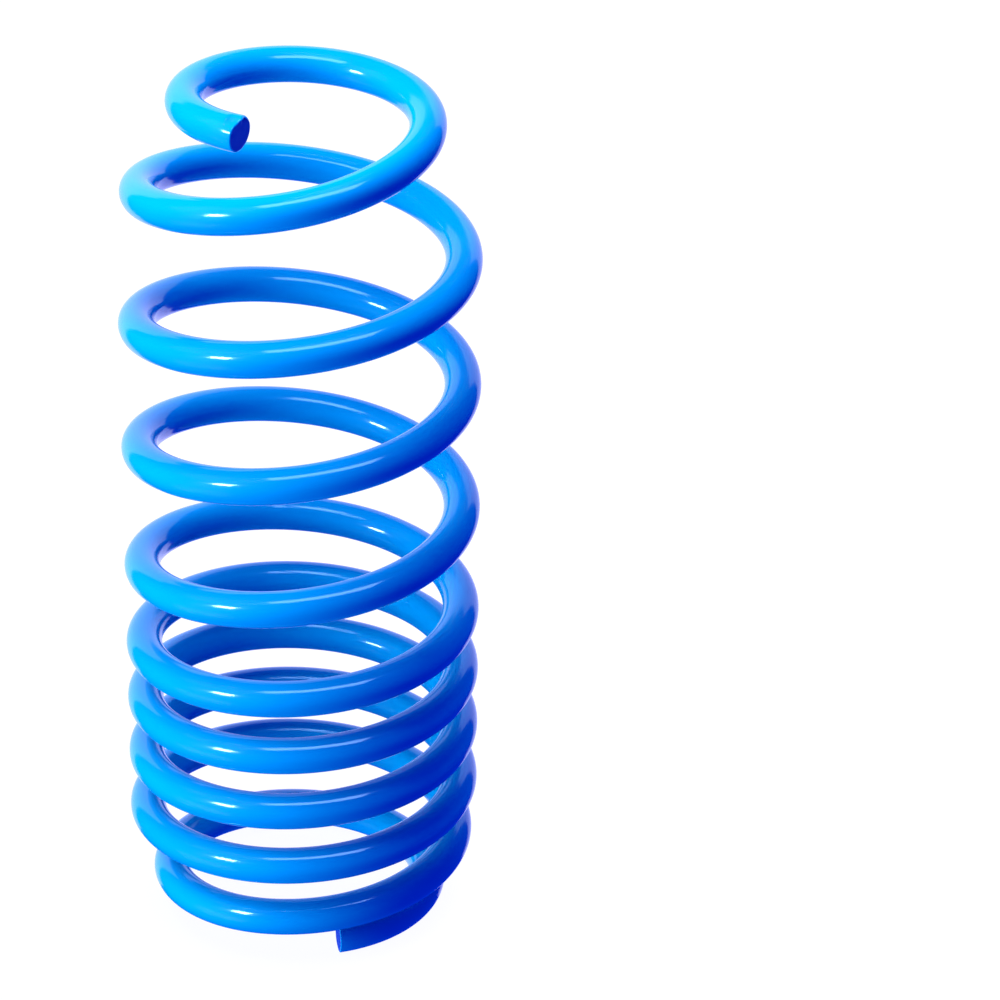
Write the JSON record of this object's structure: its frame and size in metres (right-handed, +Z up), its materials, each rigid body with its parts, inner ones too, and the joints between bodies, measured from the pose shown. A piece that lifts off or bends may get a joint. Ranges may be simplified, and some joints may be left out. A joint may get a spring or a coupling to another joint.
{
  "type": "coil spring",
  "caption": "Progressive-rate compression coil spring of round bar for a car's suspension, with a drawn-in lower end coil and a small pigtail upper end coil.",
  "frame": {"origin": "on the coil axis, in the plane that the lower end coil stands on", "axes": "+Z up the coil axis towards the upper end coil; the lower cut end faces -Y, a little towards +X"},
  "size_m": [0.1134, 0.1135, 0.285],
  "materials": {
    "blue_coating": "gloss"
  },
  "bodies": {
    "lower_end": {"lower_end_arc_01": "blue_coating", "lower_end_arc_02": "blue_coating", "lower_end_arc_03": "blue_coating", "lower_end_arc_04": "blue_coating"},
    "coil_change": {"open_coil_arc_01": "blue_coating"},
    "close_coil_arc_01": {"close_coil_arc_01": "blue_coating"},
    "close_coil_arc_02": {"close_coil_arc_02": "blue_coating"},
    "close_coil_arc_03": {"close_coil_arc_03": "blue_coating"},
    "close_coil_arc_04": {"close_coil_arc_04": "blue_coating"},
    "close_coil_arc_05": {"close_coil_arc_05": "blue_coating"},
    "close_coil_arc_06": {"close_coil_arc_06": "blue_coating"},
    "close_coil_arc_07": {"close_coil_arc_07": "blue_coating"},
    "close_coil_arc_08": {"close_coil_arc_08": "blue_coating"},
    "close_coil_arc_09": {"close_coil_arc_09": "blue_coating"},
    "close_coil_arc_10": {"close_coil_arc_10": "blue_coating"},
    "close_coil_arc_11": {"close_coil_arc_11": "blue_coating"},
    "close_coil_arc_12": {"close_coil_arc_12": "blue_coating"},
    "close_coil_arc_13": {"close_coil_arc_13": "blue_coating"},
    "close_coil_arc_14": {"close_coil_arc_14": "blue_coating"},
    "close_coil_arc_15": {"close_coil_arc_15": "blue_coating"},
    "upper_end": {"upper_end_arc_01": "blue_coating", "upper_end_arc_02": "blue_coating", "upper_end_arc_03": "blue_coating", "upper_end_arc_04": "blue_coating"},
    "open_coil_arc_02": {"open_coil_arc_02": "blue_coating"},
    "open_coil_arc_03": {"open_coil_arc_03": "blue_coating"},
    "open_coil_arc_04": {"open_coil_arc_04": "blue_coating"},
    "open_coil_arc_05": {"open_coil_arc_05": "blue_coating"},
    "open_coil_arc_06": {"open_coil_arc_06": "blue_coating"},
    "open_coil_arc_07": {"open_coil_arc_07": "blue_coating"},
    "open_coil_arc_08": {"open_coil_arc_08": "blue_coating"},
    "open_coil_arc_09": {"open_coil_arc_09": "blue_coating"},
    "open_coil_arc_10": {"open_coil_arc_10": "blue_coating"},
    "open_coil_arc_11": {"open_coil_arc_11": "blue_coating"},
    "open_coil_arc_12": {"open_coil_arc_12": "blue_coating"},
    "open_coil_arc_13": {"open_coil_arc_13": "blue_coating"},
    "open_coil_arc_14": {"open_coil_arc_14": "blue_coating"},
    "open_coil_arc_15": {"open_coil_arc_15": "blue_coating"},
    "open_coil_arc_16": {"open_coil_arc_16": "blue_coating"},
    "open_coil_arc_17": {"open_coil_arc_17": "blue_coating"},
    "open_coil_arc_18": {"open_coil_arc_18": "blue_coating"},
    "open_coil_arc_19": {"open_coil_arc_19": "blue_coating"},
    "open_coil_arc_20": {"open_coil_arc_20": "blue_coating"},
    "open_coil_arc_21": {"open_coil_arc_21": "blue_coating"},
    "open_coil_arc_22": {"open_coil_arc_22": "blue_coating"},
    "open_coil_arc_23": {"open_coil_arc_23": "blue_coating"},
    "open_coil_arc_24": {"open_coil_arc_24": "blue_coating"},
    "open_coil_arc_25": {"open_coil_arc_25": "blue_coating"},
    "open_coil_arc_26": {"open_coil_arc_26": "blue_coating"},
    "open_coil_arc_27": {"open_coil_arc_27": "blue_coating"}
  },
  "joints": [
    {"name": "close_coils_travel", "type": "slide", "parent": "lower_end", "child": "coil_change", "axis": [0, 0, -1], "range_m": [0, 0.0274], "stiffness_N_per_m": 42600},
    {"name": "close_coil_arc_01_slide", "type": "slide", "parent": "lower_end", "child": "close_coil_arc_01", "axis": [0, 0, -1], "range_m": [0, 0.00153]},
    {"name": "close_coil_arc_02_slide", "type": "slide", "parent": "lower_end", "child": "close_coil_arc_02", "axis": [0, 0, -1], "range_m": [0, 0.00383]},
    {"name": "close_coil_arc_03_slide", "type": "slide", "parent": "lower_end", "child": "close_coil_arc_03", "axis": [0, 0, -1], "range_m": [0, 0.00553]},
    {"name": "close_coil_arc_04_slide", "type": "slide", "parent": "lower_end", "child": "close_coil_arc_04", "axis": [0, 0, -1], "range_m": [0, 0.00724]},
    {"name": "close_coil_arc_05_slide", "type": "slide", "parent": "lower_end", "child": "close_coil_arc_05", "axis": [0, 0, -1], "range_m": [0, 0.00893]},
    {"name": "close_coil_arc_06_slide", "type": "slide", "parent": "lower_end", "child": "close_coil_arc_06", "axis": [0, 0, -1], "range_m": [0, 0.01063]},
    {"name": "close_coil_arc_07_slide", "type": "slide", "parent": "lower_end", "child": "close_coil_arc_07", "axis": [0, 0, -1], "range_m": [0, 0.01233]},
    {"name": "close_coil_arc_08_slide", "type": "slide", "parent": "lower_end", "child": "close_coil_arc_08", "axis": [0, 0, -1], "range_m": [0, 0.01403]},
    {"name": "close_coil_arc_09_slide", "type": "slide", "parent": "lower_end", "child": "close_coil_arc_09", "axis": [0, 0, -1], "range_m": [0, 0.01573]},
    {"name": "close_coil_arc_10_slide", "type": "slide", "parent": "lower_end", "child": "close_coil_arc_10", "axis": [0, 0, -1], "range_m": [0, 0.01743]},
    {"name": "close_coil_arc_11_slide", "type": "slide", "parent": "lower_end", "child": "close_coil_arc_11", "axis": [0, 0, -1], "range_m": [0, 0.01913]},
    {"name": "close_coil_arc_12_slide", "type": "slide", "parent": "lower_end", "child": "close_coil_arc_12", "axis": [0, 0, -1], "range_m": [0, 0.02083]},
    {"name": "close_coil_arc_13_slide", "type": "slide", "parent": "lower_end", "child": "close_coil_arc_13", "axis": [0, 0, -1], "range_m": [0, 0.02253]},
    {"name": "close_coil_arc_14_slide", "type": "slide", "parent": "lower_end", "child": "close_coil_arc_14", "axis": [0, 0, -1], "range_m": [0, 0.02423]},
    {"name": "close_coil_arc_15_slide", "type": "slide", "parent": "lower_end", "child": "close_coil_arc_15", "axis": [0, 0, -1], "range_m": [0, 0.02593]},
    {"name": "open_coils_travel", "type": "slide", "parent": "coil_change", "child": "upper_end", "axis": [0, 0, -1], "range_m": [0, 0.1128], "stiffness_N_per_m": 37000},
    {"name": "open_coil_arc_02_slide", "type": "slide", "parent": "coil_change", "child": "open_coil_arc_02", "axis": [0, 0, -1], "range_m": [0, 0.00141]},
    {"name": "open_coil_arc_03_slide", "type": "slide", "parent": "coil_change", "child": "open_coil_arc_03", "axis": [0, 0, -1], "range_m": [0, 0.00329]},
    {"name": "open_coil_arc_04_slide", "type": "slide", "parent": "coil_change", "child": "open_coil_arc_04", "axis": [0, 0, -1], "range_m": [0, 0.00565]},
    {"name": "open_coil_arc_05_slide", "type": "slide", "parent": "coil_change", "child": "open_coil_arc_05", "axis": [0, 0, -1], "range_m": [0, 0.00847]},
    {"name": "open_coil_arc_06_slide", "type": "slide", "parent": "coil_change", "child": "open_coil_arc_06", "axis": [0, 0, -1], "range_m": [0, 0.01178]},
    {"name": "open_coil_arc_07_slide", "type": "slide", "parent": "coil_change", "child": "open_coil_arc_07", "axis": [0, 0, -1], "range_m": [0, 0.01555]},
    {"name": "open_coil_arc_08_slide", "type": "slide", "parent": "coil_change", "child": "open_coil_arc_08", "axis": [0, 0, -1], "range_m": [0, 0.0198]},
    {"name": "open_coil_arc_09_slide", "type": "slide", "parent": "coil_change", "child": "open_coil_arc_09", "axis": [0, 0, -1], "range_m": [0, 0.02444]},
    {"name": "open_coil_arc_10_slide", "type": "slide", "parent": "coil_change", "child": "open_coil_arc_10", "axis": [0, 0, -1], "range_m": [0, 0.02912]},
    {"name": "open_coil_arc_11_slide", "type": "slide", "parent": "coil_change", "child": "open_coil_arc_11", "axis": [0, 0, -1], "range_m": [0, 0.03381]},
    {"name": "open_coil_arc_12_slide", "type": "slide", "parent": "coil_change", "child": "open_coil_arc_12", "axis": [0, 0, -1], "range_m": [0, 0.03849]},
    {"name": "open_coil_arc_13_slide", "type": "slide", "parent": "coil_change", "child": "open_coil_arc_13", "axis": [0, 0, -1], "range_m": [0, 0.04317]},
    {"name": "open_coil_arc_14_slide", "type": "slide", "parent": "coil_change", "child": "open_coil_arc_14", "axis": [0, 0, -1], "range_m": [0, 0.04785]},
    {"name": "open_coil_arc_15_slide", "type": "slide", "parent": "coil_change", "child": "open_coil_arc_15", "axis": [0, 0, -1], "range_m": [0, 0.05254]},
    {"name": "open_coil_arc_16_slide", "type": "slide", "parent": "coil_change", "child": "open_coil_arc_16", "axis": [0, 0, -1], "range_m": [0, 0.05722]},
    {"name": "open_coil_arc_17_slide", "type": "slide", "parent": "coil_change", "child": "open_coil_arc_17", "axis": [0, 0, -1], "range_m": [0, 0.0619]},
    {"name": "open_coil_arc_18_slide", "type": "slide", "parent": "coil_change", "child": "open_coil_arc_18", "axis": [0, 0, -1], "range_m": [0, 0.06659]},
    {"name": "open_coil_arc_19_slide", "type": "slide", "parent": "coil_change", "child": "open_coil_arc_19", "axis": [0, 0, -1], "range_m": [0, 0.07127]},
    {"name": "open_coil_arc_20_slide", "type": "slide", "parent": "coil_change", "child": "open_coil_arc_20", "axis": [0, 0, -1], "range_m": [0, 0.07595]},
    {"name": "open_coil_arc_21_slide", "type": "slide", "parent": "coil_change", "child": "open_coil_arc_21", "axis": [0, 0, -1], "range_m": [0, 0.08063]},
    {"name": "open_coil_arc_22_slide", "type": "slide", "parent": "coil_change", "child": "open_coil_arc_22", "axis": [0, 0, -1], "range_m": [0, 0.08543]},
    {"name": "open_coil_arc_23_slide", "type": "slide", "parent": "coil_change", "child": "open_coil_arc_23", "axis": [0, 0, -1], "range_m": [0, 0.09046]},
    {"name": "open_coil_arc_24_slide", "type": "slide", "parent": "coil_change", "child": "open_coil_arc_24", "axis": [0, 0, -1], "range_m": [0, 0.09571]},
    {"name": "open_coil_arc_25_slide", "type": "slide", "parent": "coil_change", "child": "open_coil_arc_25", "axis": [0, 0, -1], "range_m": [0, 0.10119]},
    {"name": "open_coil_arc_26_slide", "type": "slide", "parent": "coil_change", "child": "open_coil_arc_26", "axis": [0, 0, -1], "range_m": [0, 0.10691]},
    {"name": "open_coil_arc_27_slide", "type": "slide", "parent": "coil_change", "child": "open_coil_arc_27", "axis": [0, 0, -1], "range_m": [0, 0.11157]}
  ],
  "couplings": [
    {"joint": "close_coil_arc_01_slide", "follows": "close_coils_travel", "ratio": 0.05585},
    {"joint": "close_coil_arc_02_slide", "follows": "close_coils_travel", "ratio": 0.13974},
    {"joint": "close_coil_arc_03_slide", "follows": "close_coils_travel", "ratio": 0.20194},
    {"joint": "close_coil_arc_04_slide", "follows": "close_coils_travel", "ratio": 0.26397},
    {"joint": "close_coil_arc_05_slide", "follows": "close_coils_travel", "ratio": 0.326},
    {"joint": "close_coil_arc_06_slide", "follows": "close_coils_travel", "ratio": 0.38803},
    {"joint": "close_coil_arc_07_slide", "follows": "close_coils_travel", "ratio": 0.45006},
    {"joint": "close_coil_arc_08_slide", "follows": "close_coils_travel", "ratio": 0.51208},
    {"joint": "close_coil_arc_09_slide", "follows": "close_coils_travel", "ratio": 0.57411},
    {"joint": "close_coil_arc_10_slide", "follows": "close_coils_travel", "ratio": 0.63614},
    {"joint": "close_coil_arc_11_slide", "follows": "close_coils_travel", "ratio": 0.69817},
    {"joint": "close_coil_arc_12_slide", "follows": "close_coils_travel", "ratio": 0.76019},
    {"joint": "close_coil_arc_13_slide", "follows": "close_coils_travel", "ratio": 0.82222},
    {"joint": "close_coil_arc_14_slide", "follows": "close_coils_travel", "ratio": 0.88425},
    {"joint": "close_coil_arc_15_slide", "follows": "close_coils_travel", "ratio": 0.94628},
    {"joint": "open_coil_arc_02_slide", "follows": "open_coils_travel", "ratio": 0.0125},
    {"joint": "open_coil_arc_03_slide", "follows": "open_coils_travel", "ratio": 0.02917},
    {"joint": "open_coil_arc_04_slide", "follows": "open_coils_travel", "ratio": 0.05004},
    {"joint": "open_coil_arc_05_slide", "follows": "open_coils_travel", "ratio": 0.0751},
    {"joint": "open_coil_arc_06_slide", "follows": "open_coils_travel", "ratio": 0.10437},
    {"joint": "open_coil_arc_07_slide", "follows": "open_coils_travel", "ratio": 0.13783},
    {"joint": "open_coil_arc_08_slide", "follows": "open_coils_travel", "ratio": 0.17549},
    {"joint": "open_coil_arc_09_slide", "follows": "open_coils_travel", "ratio": 0.21664},
    {"joint": "open_coil_arc_10_slide", "follows": "open_coils_travel", "ratio": 0.25815},
    {"joint": "open_coil_arc_11_slide", "follows": "open_coils_travel", "ratio": 0.29967},
    {"joint": "open_coil_arc_12_slide", "follows": "open_coils_travel", "ratio": 0.34118},
    {"joint": "open_coil_arc_13_slide", "follows": "open_coils_travel", "ratio": 0.3827},
    {"joint": "open_coil_arc_14_slide", "follows": "open_coils_travel", "ratio": 0.42422},
    {"joint": "open_coil_arc_15_slide", "follows": "open_coils_travel", "ratio": 0.46573},
    {"joint": "open_coil_arc_16_slide", "follows": "open_coils_travel", "ratio": 0.50725},
    {"joint": "open_coil_arc_17_slide", "follows": "open_coils_travel", "ratio": 0.54876},
    {"joint": "open_coil_arc_18_slide", "follows": "open_coils_travel", "ratio": 0.59028},
    {"joint": "open_coil_arc_19_slide", "follows": "open_coils_travel", "ratio": 0.6318},
    {"joint": "open_coil_arc_20_slide", "follows": "open_coils_travel", "ratio": 0.67331},
    {"joint": "open_coil_arc_21_slide", "follows": "open_coils_travel", "ratio": 0.71483},
    {"joint": "open_coil_arc_22_slide", "follows": "open_coils_travel", "ratio": 0.75736},
    {"joint": "open_coil_arc_23_slide", "follows": "open_coils_travel", "ratio": 0.80191},
    {"joint": "open_coil_arc_24_slide", "follows": "open_coils_travel", "ratio": 0.84849},
    {"joint": "open_coil_arc_25_slide", "follows": "open_coils_travel", "ratio": 0.8971},
    {"joint": "open_coil_arc_26_slide", "follows": "open_coils_travel", "ratio": 0.94773},
    {"joint": "open_coil_arc_27_slide", "follows": "open_coils_travel", "ratio": 0.98904}
  ]
}
